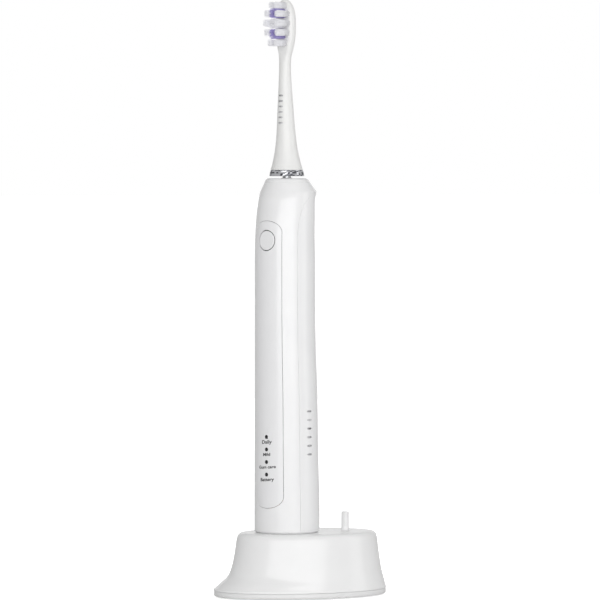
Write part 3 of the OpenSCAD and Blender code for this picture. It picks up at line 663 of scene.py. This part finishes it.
# -1 and 1 are the seams, and -2 and 2 the middle of the back
FRONT_COLUMNS = 40
REAR_COLUMNS = 22
columns = [-1 - (REAR_COLUMNS - i) / REAR_COLUMNS for i in range(REAR_COLUMNS)]
columns += [-1 + 2 * i / FRONT_COLUMNS for i in range(FRONT_COLUMNS)]
columns += [1 + i / REAR_COLUMNS for i in range(REAR_COLUMNS + 1)]


def flat_place(column, h):
    edge = seam_turn(h)
    if abs(column) <= 1:
        turn = column * edge
    else:
        turn = math.copysign(edge + (abs(column) - 1) * (math.pi - edge), column)
    return Vector((turn * FLAT_RADIUS, h, 0))


def flat_sheet(keep):
    bm = bmesh.new()
    bmesh.ops.create_grid(bm, x_segments=len(columns) - 1, y_segments=len(sheet_rows) - 1, size=0.5)
    index = bm.verts.layers.int.new("column")
    for vert in bm.verts:
        i = round((vert.co.x + 0.5) * (len(columns) - 1))
        j = round((vert.co.y + 0.5) * (len(sheet_rows) - 1))
        vert[index] = i
        vert.co = flat_place(columns[i], sheet_rows[j])

    def centre(face):
        h = sum(v.co.y for v in face.verts) / len(face.verts)
        return sum(columns[v[index]] for v in face.verts) / len(face.verts), h

    bmesh.ops.delete(bm, geom=[f for f in bm.faces if not keep(*centre(f))], context="FACES")
    return bm


print(f"sheet: {len(columns)} columns by {len(sheet_rows)} rows")

# %% [markdown]
# The panel's opening has straight sides and half-elliptic ends. In the sheet, the faces around it are
# removed and the ragged edge left behind is extruded onto the true outline, so the outline is exact while
# the rest of the sheet keeps its regular rows. The same trick cuts the round holes for the button and the
# indicators.

# %% Openings in the sheet
PANEL_LOW = 11.6
PANEL_HIGH = 143.4
PANEL_END = 5.5
PANEL_HALF = math.radians(33) * FLAT_RADIUS
# half the width of the seam between shell and panel
PANEL_GAP = 0.09
# the part of the front that is cleared round the panel
FIELD_SHARE = 0.74
FIELD_BELOW = 5
FIELD_ABOVE = 4.5
FIELD_REACH = 6


def panel_spine(point):
    return Vector((0, min(max(point.y, PANEL_LOW + PANEL_END), PANEL_HIGH - PANEL_END), 0))


def panel_outline(point, grow=0.0):
    spine = panel_spine(point)
    out = point - spine
    if abs(out.y) < 1e-6:
        return Vector((math.copysign(PANEL_HALF + grow, out.x), point.y, 0))
    turn = math.atan2(out.y / PANEL_END, out.x / PANEL_HALF)
    return spine + Vector((math.cos(turn) * (PANEL_HALF + grow), math.sin(turn) * (PANEL_END + grow), 0))


def onto_circle(centre, radius):
    return lambda point: centre + (point - centre).normalized() * radius


def cut_round(bm, centre, radius, reach):
    near = [f for f in bm.faces if (f.calc_center_median() - centre).length < reach]
    bmesh.ops.delete(bm, geom=near, context="FACES")
    edge = open_edges(bm, lambda point: (point - centre).length < reach + 1.6)
    grow_ring(bm, edge, onto_circle(centre, radius))


def in_panel_field(column, h):
    return abs(column) < FIELD_SHARE and PANEL_LOW - FIELD_BELOW < h < PANEL_HIGH + FIELD_ABOVE


def is_front(column, h):
    return abs(column) < 1 or h > LIP or h < 1.2


def windowed_sheet():
    def near_panel(p):
        if not PANEL_LOW - FIELD_REACH < p.y < PANEL_HIGH + FIELD_REACH:
            return False
        return abs(p.x) < 0.8 * seam_turn(p.y) * FLAT_RADIUS

    bm = flat_sheet(lambda column, h: is_front(column, h) and not in_panel_field(column, h))
    return bm, open_edges(bm, near_panel)


# radius, height from the handle's top
TOP_RINGS = [(8.5, 0.05), (7, 0.05), (4.7, 0), (4.5, -0.25), (4.5, -2.2)]
bm, window = windowed_sheet()
for step in (0.35, 0.65, 0.85, 0.96, 1):
    window = grow_ring(bm, window, lambda p, s=step: p.lerp(panel_outline(p, PANEL_GAP), s))
wrap(bm)
bmesh.ops.remove_doubles(bm, verts=bm.verts, dist=MERGE)
# the flat end round the shaft, down to the seal's pocket
top = open_edges(bm, lambda p: p.z > handle_len - 0.05)
for radius, up in TOP_RINGS:
    top = grow_ring(bm, top, onto_ring(radius, handle_len + up))
turn_to_front(bm, handle_foot)
front_shell = finish_piece(bm, "handle_front_shell", "white_abs", "handle", ["housing"])
thicken(front_shell, 1.6)
round_edges(front_shell, 0.12)

# %% [markdown]
# The panel is drawn from the same window, worked inwards: rings shrink towards a spine down its middle,
# which keeps its faces even and its rim a single clean loop.

# %% Front panel
LED_PITCH = 5.75
led_low = mid("indicator_lenses").z - handle_foot - 1.5 * LED_PITCH
led_places = [Vector((0, led_low + i * LED_PITCH, 0)) for i in range(4)]
# radius of each hole, and of the faces that are taken away before its edge is drawn
BUTTON_HOLE = 4.85
BUTTON_CLEARED = 5.6
LENS_HOLE = 0.95
LENS_CLEARED = 1.35

bm, window = windowed_sheet()
old_faces = list(bm.faces)
ring = grow_ring(bm, window, lambda p: panel_outline(p, -PANEL_GAP))
bmesh.ops.delete(bm, geom=old_faces, context="FACES")
bridge = list(bm.faces)
for step in (0.12, 0.3, 0.48, 0.63, 0.76, 0.88, 1):
    ring = grow_ring(bm, ring, lambda p, s=step: panel_outline(p, -PANEL_GAP).lerp(panel_spine(p), s))
bmesh.ops.delete(bm, geom=bridge, context="FACES")
bmesh.ops.remove_doubles(bm, verts=bm.verts, dist=0.01)
cut_round(bm, Vector((0, button_h, 0)), BUTTON_HOLE, BUTTON_CLEARED)
for place in led_places:
    cut_round(bm, place, LENS_HOLE, LENS_CLEARED)
wrap(bm)
turn_to_front(bm, handle_foot)
front_panel = finish_piece(bm, "handle_front_panel", "white_panel", "handle", ["front_panel"])
thicken(front_panel, 1)
round_edges(front_panel, 0.14)

# %% [markdown]
# The rear grip is the rest of the sheet. It stands a little proud of the shell, fading to nothing at its
# foot and below the lip, and a fine gap along both edges makes the seams.

# %% Rear grip
GRIP_PROUD = 0.15
SEAM_GAP = 0.05
bm = flat_sheet(lambda column, h: not is_front(column, h))
for vert in bm.verts:
    if abs(abs(vert.co.x) - seam_turn(vert.co.y) * FLAT_RADIUS) < 0.01:
        vert.co.x += math.copysign(SEAM_GAP, vert.co.x)
    vert.co.z = GRIP_PROUD * min(1, max(0, (156.4 - vert.co.y) / 8), max(0, vert.co.y - 1.2))
wrap(bm)
turn_to_front(bm, handle_foot)
rear_grip = finish_piece(bm, "handle_rear_grip", "white_abs", "handle", ["rear_grip"])
thicken(rear_grip, 1.2)
round_edges(rear_grip, 0.22, 4)

# %% [markdown]
# The button's face is dished, so that a thumb finds it without looking, and a soft rim rises round the
# dish. It is a stack of rings in the same flat sheet, lifted off or pressed below the skin, and wrapped
# with it. The panel's curve makes the sides of its hole lean inwards, so the cap is about 0.4 mm smaller
# in radius than the hole and tapers below its rim; it then clears the panel all the way down its stroke.

# %% Power button
# distance from the middle, height off the skin
BUTTON_RINGS = [(4.35, -0.75), (4.48, -0.22), (4.42, -0.06), (4.22, 0.05), (3.95, 0.05), (3.4, -0.08),
                (2.6, -0.22), (1.6, -0.32), (0.7, -0.36)]
bm = bmesh.new()
loft(bm, 64, [(0, button_h, out, radius, radius) for radius, out in BUTTON_RINGS],
     close_start=True, close_end=True)
wrap(bm)
turn_to_front(bm, handle_foot)
finish_piece(bm, "power_button_cap", "white_panel", "button", ["power_button"])

# %% [markdown]
# Four indicator lenses show which way of brushing is chosen and how full the cell is. Each is a tiny
# smoked dome over a light guide, set in a hole of the panel.

# %% Indicator lenses
# distance from the middle, height off the skin
LENS_RINGS = [(0.86, -1.2), (0.86, -0.02), (0.8, 0.05), (0.6, 0.1), (0.3, 0.12)]
bm = bmesh.new()
for place in led_places:
    loft(bm, 32, [(0, place.y, out, radius, radius) for radius, out in LENS_RINGS],
         close_start=True, close_end=True)
wrap(bm)
turn_to_front(bm, handle_foot)
finish_piece(bm, "indicator_lens_row", "smoke_lens", "handle", ["indicator_lenses"])

# %% [markdown]
# Words and marks are pad-printed: a silicone pad carries a film of ink onto the curved skin. So lettering
# is laid out flat, made a mesh, and wrapped like everything else on the handle, a few hundredths of a
# millimetre proud. The words are plain ones for the ways of brushing, and the columns of small bars are
# neutral.

# %% Printed words
INK_DEPTH = 0.03
# the letters are a little shorter than the font's line
FONT_SIZE = 1.4
LETTER_SPREAD = 0.05


def flat_word(text, height):
    curve = bpy.data.curves.new("word", "FONT")
    curve.body = text
    curve.size = height * FONT_SIZE
    curve.align_x = "CENTER"
    curve.align_y = "CENTER"
    curve.extrude = INK_DEPTH
    curve.offset = LETTER_SPREAD
    curve.resolution_u = 4
    word = bpy.data.objects.new("word", curve)
    bpy.context.scene.collection.objects.link(word)
    bpy.context.view_layer.update()
    mesh = bpy.data.meshes.new_from_object(word.evaluated_get(bpy.context.evaluated_depsgraph_get()))
    bpy.data.objects.remove(word)
    return mesh


WORDS = [("Battery", 1.5), ("Gum care", 1.4), ("Mild", 1.4), ("Daily", 1.6)]
WORD_STRETCH = 1.2
WORD_DROP = 2.35
# the pad lands a little askew, so that the words look level from the usual side
WORD_TILT = 0.09
bm = bmesh.new()
for place, (text, height) in zip(led_places, WORDS):
    mesh = flat_word(text, height)
    before = len(bm.verts)
    bm.from_mesh(mesh)
    bm.verts.ensure_lookup_table()
    for vert in bm.verts[before:]:
        vert.co.y += place.y - WORD_DROP + WORD_TILT * vert.co.x
        vert.co.x *= WORD_STRETCH
    bpy.data.meshes.remove(mesh)
wrap(bm)
turn_to_front(bm, handle_foot)
finish_piece(bm, "mode_words", "grey_ink", "handle")

# %% [markdown]
# The side of the handle and the front of the neck each carry a column of six small bars, the kind of mark
# that shows which way up a thing goes. Each is a flat rounded bar, lofted from ovals: two make its edge,
# and smaller ones inside them let its face follow the curve of the skin instead of cutting below it.

# %% Printed bars on the handle
SIDE_TURN = math.radians(85)
BARS = 6
BAR_PITCH = 3.95
BAR_LOW = 36.3
BAR_SQUARENESS = 3
# side of the skin, share of the full size
INK_RINGS = [(-1, 1), (1, 1), (1, 0.7), (1, 0.45), (1, 0.2)]
bm = bmesh.new()
for i in range(BARS):
    h = BAR_LOW + BAR_PITCH * i
    loft(bm, 24, [(SIDE_TURN * FLAT_RADIUS, h, GRIP_PROUD + side * INK_DEPTH,
                   1.4 * share, 0.5 * share, BAR_SQUARENESS) for side, share in INK_RINGS],
         close_start=True, close_end=True)
wrap(bm)
turn_to_front(bm, handle_foot)
finish_piece(bm, "handle_side_marks", "pale_ink", "handle")

# %% [markdown]
# Between handle and head the shaft passes through a soft seal that lets it turn while keeping water out.
# Its face is a shallow bellows: rings that go up and down like the folds of a concertina, spun round the
# shaft.

# %% Shaft seal
SEAL_FIT = 0.12
# radius, height from the handle's top
BELLOWS = [(4.38, -0.6), (4.1, -0.35), (3.7, -0.75), (3.3, -0.2), (2.8, -0.6), (2.45, 0.25)]
rim = handle_foot + handle_len
seal_low = low_z("shaft_seal")
shaft_radius = (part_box("drive_shaft")[1].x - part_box("drive_shaft")[0].x) / 2 / MM
seal_inner = shaft_radius + SEAL_FIT
profile = [(seal_inner, seal_low), (4.3, seal_low)]
profile += [(radius, rim + up) for radius, up in BELLOWS]
profile += [(seal_inner + 0.1, rim + 0.3), (seal_inner, rim + 0.15), (seal_inner, seal_low)]
bm = bmesh.new()
spun(bm, profile, 64)
bmesh.ops.translate(bm, vec=(axis_x, axis_y, 0), verts=bm.verts)
seal = finish_piece(bm, "shaft_seal_bellows", "grey_elastomer", "handle", ["shaft_seal"])
round_edges(seal, 0.08, 2)

# %% [markdown]
# ## The brush head
# A brush head is moulded in one shot: a hollow skirt that drops over the shaft, a waist that gets
# thinner, and a flat plate with a hole for each tuft. Its sections go from circles to a squared oval, so
# it is lofted from squeezed circles. Where the plate is, the front of each section is pressed flat.

# %% Neck and plate
# height from the ring's foot, forward offset, half thickness, half width, squareness
NECK_ROWS = [(2.9, 0, 7.45, 7.45, 2), (3.3, 0.02, 7.38, 7.38, 2), (4, 0.05, 7.1, 7.1, 2),
             (6.6, 0.1, 6.4, 6.4, 2), (9.3, 0.2, 5.8, 5.8, 2), (12.1, 0.3, 5.25, 5.25, 2),
             (15, 0.4, 4.85, 4.85, 2), (20, 0.55, 4.35, 4.35, 2), (26, 0.8, 3.95, 3.95, 2),
             (31.5, 0.95, 3.7, 3.7, 2), (37, 1.1, 3.3, 3.3, 2), (42.5, 1.2, 3, 3, 2), (48, 1.35, 2.7, 2.7, 2),
             (53.5, 1.25, 2.6, 2.75, 2), (56.3, 1.05, 2.6, 3.2, 2.2), (58.5, 0.85, 2.6, 3.9, 2.5),
             (61, 0.75, 2.6, 4.5, 2.8), (65, 0.7, 2.65, 5, 3), (70, 0.7, 2.65, 5.2, 3), (74, 0.75, 2.6, 5, 3),
             (77, 0.85, 2.45, 4.3, 2.8), (79, 1, 2.2, 3.4, 2.5), (80.3, 1.2, 1.7, 2.3, 2.2),
             (80.8, 1.28, 1.3, 1.7, 2), (81, 1.3, 0.9, 1.1, 2)]
PLATE_FROM = 56
PLATE_FACE = 3.05
# the share of its roundness that the pressed plate keeps
PLATE_CROWN = 0.06
# radius and height of each ring of the skirt's hollow, seen when the head is off
SKIRT_RINGS = [(6.9, 2.75), (6.2, 2.7), (6.15, 0.4), (5, 0.35), (5, 2), (3.4, 6.5), (3.3, 20)]
bm = bmesh.new()
loft(bm, 72, [(offset, 0, z, thick, wide, square) for z, offset, thick, wide, square in NECK_ROWS],
     close_end=True)
for vert in bm.verts:
    if vert.co.z > PLATE_FROM and vert.co.x > PLATE_FACE:
        vert.co.x = PLATE_FACE + (vert.co.x - PLATE_FACE) * PLATE_CROWN
skirt = open_edges(bm)
for radius, z in SKIRT_RINGS:
    skirt = grow_ring(bm, skirt, onto_ring(radius, z))
bmesh.ops.edgeloop_fill(bm, edges=skirt)
turn_to_front(bm, ring_foot)
neck = finish_piece(bm, "brush_neck_moulding", "head_pom", "brush_head", ["brush_neck"])
add_modifier(neck, "SUBSURF", levels=1, render_levels=1)

# %% [markdown]
# The ring at the foot of the head tells one person's head from another's. Here it is chromed and
# hammered, so its facets break up what it reflects into small patches. A profile is spun, and its outer
# corners are nudged in and up or down at random. The dark patches are painted reflection: some facets,
# picked at random, take a darker copy of the chrome that stands for the dark parts of a room.

# %% Collar ring
FACETS = 44
HAMMER = 0.05
HAMMER_RISE = 0.12
PAINTED_DARK_SHARE = 0.42
random.seed(11)
bm = bmesh.new()
ring_top = high_z("collar_ring") - ring_foot
spun(bm, [(6.3, 0), (7.95, 0), (8.1, 0.2), (8.05, 0.7), (7.9, 1.3), (7.75, 1.9), (7.6, ring_top - 0.4),
          (7.5, ring_top - 0.15), (7.35, ring_top), (6.3, ring_top), (6.3, 0)], FACETS)
bmesh.ops.remove_doubles(bm, verts=bm.verts, dist=MERGE)
for vert in bm.verts:
    if 0.5 < vert.co.z < ring_top - 0.3 and vert.co.xy.length > 7:
        push = 1 - abs(random.gauss(0, HAMMER)) / 7.8
        vert.co = (vert.co.x * push, vert.co.y * push, vert.co.z + random.uniform(-HAMMER_RISE, HAMMER_RISE))
# painted reflection: a share of the wall's facets, picked at random, take the darker chrome
for face in bm.faces:
    place = face.calc_center_median()
    on_wall = place.xy.length > 7.3 and 0.3 < place.z < ring_top - 0.2
    face.material_index = 1 if on_wall and random.random() < PAINTED_DARK_SHARE else 0
turn_to_front(bm, ring_foot)
collar = finish_piece(bm, "collar_ring_chrome", "chrome_trim", "brush_head", ["collar_ring"],
                      more_finishes=["chrome_painted_dark"])
for polygon in collar.data.polygons:
    polygon.use_smooth = False

# %% [markdown]
# ### Tufts
# A machine folds a bundle of threads in half and shoots it into each hole with a brass anchor, and the
# field is then trimmed to a profile. Modelled one by one, the threads fan slightly and end at slightly
# different heights, which gives the soft edge that a solid block never has. Real threads are 0.18 mm
# thick; here they are 0.26 mm, so that they can be told apart.

# %% Bristle tufts
THREAD = 0.13
THREAD_SUNK = 0.4
SPACING = 0.29
ROW_SHARE = 0.87
LENGTH_SPREAD = 0.12
LEAN_SPREAD = 0.012
random.seed(7)


def thread(bm, height, across, reach, lean_up, lean_side):
    length = reach + THREAD_SUNK
    root = Vector((PLATE_FACE - THREAD_SUNK, across, height))
    way = Vector((1, lean_side, lean_up)).normalized()
    turn = way.to_track_quat("Z", "Y").to_matrix().to_4x4()
    bmesh.ops.create_cone(bm, cap_ends=True, segments=6, radius1=THREAD, radius2=THREAD * 0.75,
                          depth=length, matrix=Matrix.Translation(root + way * length / 2) @ turn)


def tuft(bm, height, across, reach, half_height, half_width, fan=0.035, crown=0.0):
    rows = int(half_height / (SPACING * ROW_SHARE))
    for j in range(-rows, rows + 1):
        for i in range(-6, 7):
            y = (i + (j % 2) / 2) * SPACING
            z = j * SPACING * ROW_SHARE
            round_part = max(0, abs(z) - (half_height - half_width))
            if y * y + round_part * round_part > half_width * half_width:
                continue
            drop = crown * ((z / half_height) ** 2 + 0.5 * (y / half_width) ** 2)
            end = reach - drop + random.uniform(-LENGTH_SPREAD, LENGTH_SPREAD)
            lean_up = fan * z / half_height + random.uniform(-LEAN_SPREAD, LEAN_SPREAD)
            lean_side = fan * y / half_width + random.uniform(-LEAN_SPREAD, LEAN_SPREAD)
            thread(bm, height + z, across + y, end, lean_up, lean_side)


def middle_field(name, finish, node, heights, share):
    bm = bmesh.new()
    for height in heights:
        for side in (-1, 1):
            tuft(bm, height, side * MIDDLE_ACROSS, share * BRISTLE, 0.8, 0.78, crown=0.2)
    turn_to_front(bm, ring_foot)
    finish_piece(bm, name, finish, "brush_head", [node])


BRISTLE = 9.2
MIDDLE_ACROSS = 0.95
# height, distance from the middle line, share of the full length
OUTER = [(61.1, 1.75, 0.86), (65.8, 3.1, 0.96), (70.1, 3.35, 1), (74.4, 3.1, 0.96), (78.3, 1.4, 0.82)]
bm = bmesh.new()
for height, across, share in OUTER:
    for side in (-1, 1):
        tuft(bm, height, side * across, share * BRISTLE, 1.36, 0.84, fan=0.025, crown=0.25)
turn_to_front(bm, ring_foot)
finish_piece(bm, "outer_bristles", "bristle_white", "brush_head", ["outer_tufts"])
middle_field("inner_bristles", "bristle_violet", "inner_tufts", (64, 66.2, 73.5, 75.7), 0.8)
middle_field("centre_bristles", "bristle_white", "centre_tufts", (68.7, 71), 0.86)

# %% [markdown]
# The neck's bars are drawn as on the handle, but its skin is the stack of sections above. So the same
# flat bars are wrapped round the section that lies at their own height.

# %% Printed bars on the neck
def neck_front(z):
    for (z0, *low), (z1, *high) in zip(NECK_ROWS, NECK_ROWS[1:]):
        if z <= z1:
            t = (z - z0) / (z1 - z0)
            return [a + (b - a) * t for a, b in zip(low, high)]


NECK_BAR_LOW = 24.5
NECK_BAR_PITCH = 2.5
NECK_INK_DEPTH = INK_DEPTH + 0.01
bm = bmesh.new()
for i in range(BARS):
    z = NECK_BAR_LOW + NECK_BAR_PITCH * i
    loft(bm, 24, [(0, z, side * NECK_INK_DEPTH, 1.25 * share, 0.45 * share, BAR_SQUARENESS)
                  for side, share in INK_RINGS], close_start=True, close_end=True)
for vert in bm.verts:
    across, z, out = vert.co
    offset, thick, wide, _ = neck_front(z)
    turn = across / thick
    vert.co = (offset + (thick + out) * math.cos(turn), (wide + out) * math.sin(turn), z)
turn_to_front(bm, ring_foot)
finish_piece(bm, "neck_marks", "pale_ink", "brush_head")

# %% [markdown]
# ## Floor and light
# The floor is a sheet of paper lit from below, as on a light table, which keeps it pale all round. The
# light below is seen by the eye only, and doesn't reach the brush.

# %% Floor
PAPER_HALF = 30000
PAPER_GLOW = 0.7
bm = bmesh.new()
bmesh.ops.create_grid(bm, x_segments=1, y_segments=1, size=PAPER_HALF)
bmesh.ops.scale(bm, vec=(MM, MM, MM), verts=bm.verts)
floor_mesh = bpy.data.meshes.new("floor")
bm.to_mesh(floor_mesh)
bm.free()
paper, tree, place = start_finish("floor_white_paper")
ray = add_node(tree, "ShaderNodeLightPath", {})
glow = add_node(tree, "ShaderNodeMath", {"operation": "MULTIPLY", 1: PAPER_GLOW},
                {0: ray.outputs["Is Camera Ray"]})
end_finish(paper, tree, {"Base Color": linear("#F4F4F4"), "Emission Color": (1, 1, 1, 1)}, {
    "Roughness": spread(tree, noise(tree, place, 1.5, 2), 0.25, 0.35),
    "Emission Strength": glow.outputs["Value"]})
floor_mesh.materials.append(paper)
floor = bpy.data.objects.new("floor", floor_mesh)
bpy.context.scene.collection.objects.link(floor)

# %% [markdown]
# White on white is read only by its shading. A wide soft box stands close to the camera, so surfaces that
# face the eye are bright and those that turn away fall off towards the grey of the room, on the left and
# the right alike. Two weaker boxes, at the side and behind, keep the edges apart from the bright
# backdrop.

# %% Lights and room
LIGHT_AIM = Vector((0, 0, 0.13))
ROOM_STRENGTH = 0.51


def soft_box(name, turn_deg, height, distance, size, power):
    data = bpy.data.lights.new(name, "AREA")
    data.shape = "RECTANGLE"
    data.size, data.size_y = size
    data.energy = power
    light = bpy.data.objects.new(name, data)
    turn = CAMERA_TURN + math.radians(turn_deg)
    place = Vector((math.sin(turn) * distance, -math.cos(turn) * distance, height))
    light.location = place
    light.rotation_euler = (LIGHT_AIM - place).to_track_quat("-Z", "Y").to_euler()
    light.visible_camera = False
    bpy.context.scene.collection.objects.link(light)


# name, turn from the camera in degrees, height, distance and size in metres, power in watts
soft_box("key_box", 5, 0.2, 1.5, (2.1, 1.2), 19)
soft_box("side_box", 80, 0.25, 1.5, (0.5, 1.2), 2.4)
soft_box("back_box", 180, 0.3, 1.7, (1.5, 0.9), 2)

world = bpy.data.worlds.new("room")
bpy.context.scene.world = world
world.use_nodes = True
tree = world.node_tree
tree.nodes.clear()
ray = add_node(tree, "ShaderNodeLightPath", {})
room_light = add_node(tree, "ShaderNodeBackground", {"Color": (1, 1, 1, 1), "Strength": ROOM_STRENGTH})
backdrop = add_node(tree, "ShaderNodeBackground", {"Color": (1, 1, 1, 1), "Strength": 1.0})
seen = add_node(tree, "ShaderNodeMixShader", {}, {
    0: ray.outputs["Is Camera Ray"], 1: room_light.outputs[0], 2: backdrop.outputs[0]})
add_node(tree, "ShaderNodeOutputWorld", {}, {"Surface": seen.outputs[0]})
bpy.context.scene.view_settings.view_transform = "Standard"
